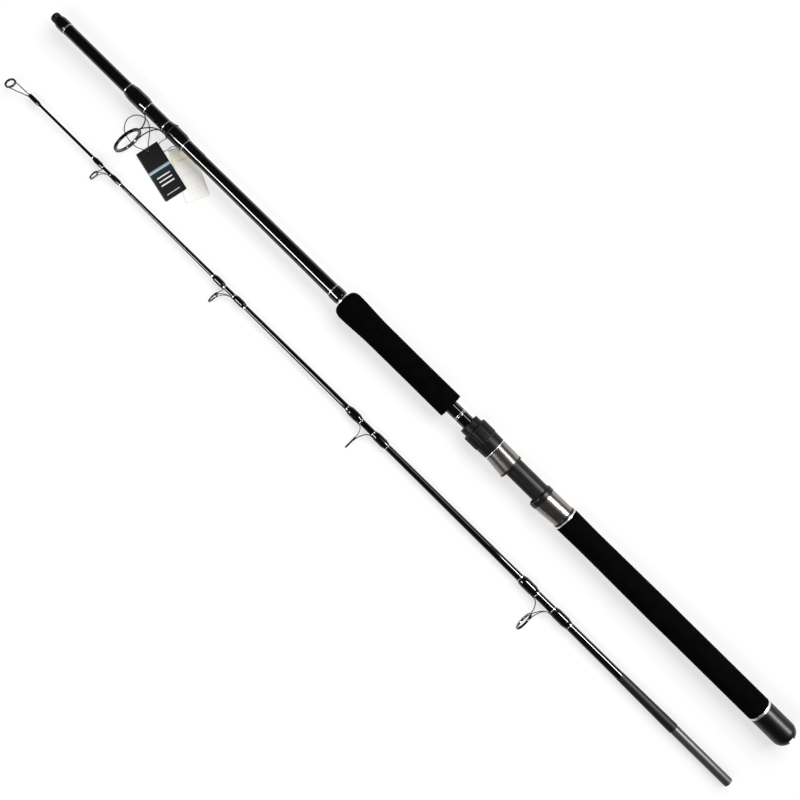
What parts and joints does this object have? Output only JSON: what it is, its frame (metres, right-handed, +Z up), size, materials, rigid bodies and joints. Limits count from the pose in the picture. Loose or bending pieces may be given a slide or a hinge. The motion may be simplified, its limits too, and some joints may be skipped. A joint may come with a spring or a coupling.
{
  "type": "two-piece fishing rod",
  "caption": "Heavy two-piece spinning rod taken apart: foam handle with screw-lock reel seat, gimbal butt, ringed guides, tip-top, ferrule plug, and plain card tags on a cord.",
  "frame": {"origin": "centre of the two sections' box, on the floor that they lie on", "axes": "+X from butt to tip, +Y from the butt section to the tip section, +Z up"},
  "size_m": [1.2589, 0.1564, 0.0403],
  "materials": {
    "rubber": "satin moulded rubber",
    "bright_aluminium": "bright turned",
    "foam": "matte closed-cell foam",
    "black_plastic": "satin moulded",
    "gloss_graphite": "gloss clear coat over black",
    "seat_composite": "satin moulded",
    "paper_tape": "wound tape",
    "stainless": "satin pressed steel",
    "silver_thread": "metallic thread under epoxy",
    "epoxy_wrap": "black thread under gloss epoxy",
    "guide_steel": "dark polished steel",
    "ceramic": "polished black ceramic",
    "cream_card": "uncoated card",
    "black_card": "coated card",
    "elastic_cord": "woven elastic",
    "nut_plastic": "fine matte moulded",
    "matte_wrap": "matte wound tape"
  },
  "bodies": {
    "butt_section": {"butt_cap": "rubber", "butt_ring": "bright_aluminium", "rear_grip": "foam", "seat_ring": "bright_aluminium", "seat_collar": "black_plastic", "butt_blank": "gloss_graphite", "ferrule_sleeve": "gloss_graphite", "seat_body": "seat_composite", "seat_arbors": "paper_tape", "fixed_hood": "stainless", "fixed_hood_cushion": "black_plastic", "neck_ring": "silver_thread", "foregrip": "foam", "winding_check": "bright_aluminium", "grip_wrap": "epoxy_wrap", "stripper_underwrap": "epoxy_wrap", "ferrule_wrap": "epoxy_wrap", "stripper_frame": "guide_steel", "stripper_ring": "ceramic", "stripper_wraps": "epoxy_wrap", "butt_trim_bands": "silver_thread", "cream_tag": "cream_card", "black_tag": "black_card", "cord_knot": "elastic_cord", "string_knot": "elastic_cord", "tag_cord": "elastic_cord", "tag_string": "elastic_cord", "string_loop": "elastic_cord"},
    "hood_carriage": {"moving_hood": "stainless", "moving_hood_cushion": "black_plastic"},
    "locking_nut": {"seat_nut": "nut_plastic", "nut_ring": "bright_aluminium"},
    "dust_plug": {"ferrule_plug": "black_plastic"},
    "tip_section": {"tip_blank": "gloss_graphite", "flare_wrap": "matte_wrap", "guide_1_frame": "guide_steel", "guide_1_ring": "ceramic", "guide_1_wraps": "epoxy_wrap", "guide_2_frame": "guide_steel", "guide_2_ring": "ceramic", "guide_2_wraps": "epoxy_wrap", "guide_3_frame": "guide_steel", "guide_3_ring": "ceramic", "guide_3_wraps": "epoxy_wrap", "guide_4_frame": "guide_steel", "guide_4_ring": "ceramic", "guide_4_wraps": "epoxy_wrap", "tip_trim_bands": "silver_thread", "tiptop_frame": "guide_steel", "tiptop_ring": "ceramic", "tiptop_wrap": "epoxy_wrap"}
  },
  "joints": [
    {"name": "hood_slide", "type": "slide", "parent": "butt_section", "child": "hood_carriage", "axis": [1, 0, 0], "range_m": [-0.012, 0.022]},
    {"name": "nut_spin", "type": "hinge", "parent": "hood_carriage", "child": "locking_nut", "pos_m": [-0.1015, -0.05972, 0.0185], "axis": [1, 0, 0], "range_deg": [-1440, 2640]},
    {"name": "plug_pull", "type": "slide", "parent": "butt_section", "child": "dust_plug", "axis": [1, 0, 0], "range_m": [0, 0.032]},
    {"name": "tip_draw", "type": "slide", "parent": "butt_section", "child": "tip_section", "axis": [1, 0, 0], "range_m": [0, 0.085]}
  ],
  "couplings": [
    {"joint": "hood_slide", "follows": "nut_spin", "m_per_rad": 0.00047746}
  ]
}
